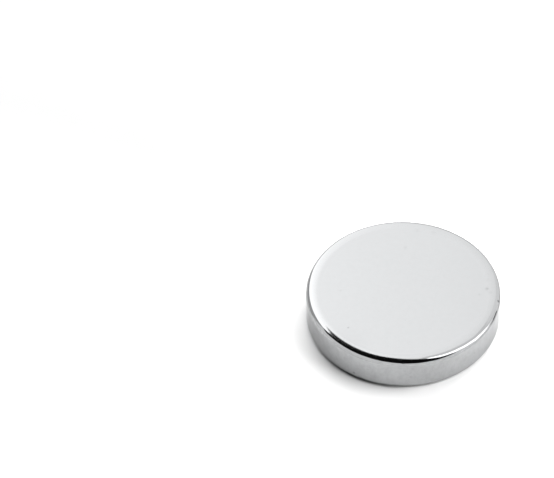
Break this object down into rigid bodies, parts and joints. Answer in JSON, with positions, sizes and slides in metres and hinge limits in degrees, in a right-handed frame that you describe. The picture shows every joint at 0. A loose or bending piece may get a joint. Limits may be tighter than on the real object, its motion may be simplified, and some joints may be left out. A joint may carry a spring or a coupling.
{
  "type": "disc magnet",
  "caption": "Flat round permanent magnet with softly rounded edges and a bright nickel finish, for holding on steel or seating in a round pocket.",
  "frame": {"origin": "centre of the lower pole face, on the surface that the magnet rests on", "axes": "+Z along the axis of magnetisation, from the lower pole face to the upper one; X and Y lie in the lower pole face and may be turned freely"},
  "size_m": [0.015, 0.015, 0.0029],
  "materials": {
    "nickel_plating": "bright, mirror-like electroplate over a tumbled surface"
  },
  "bodies": {
    "root": {"disc_magnet": "nickel_plating"}
  },
  "joints": []
}
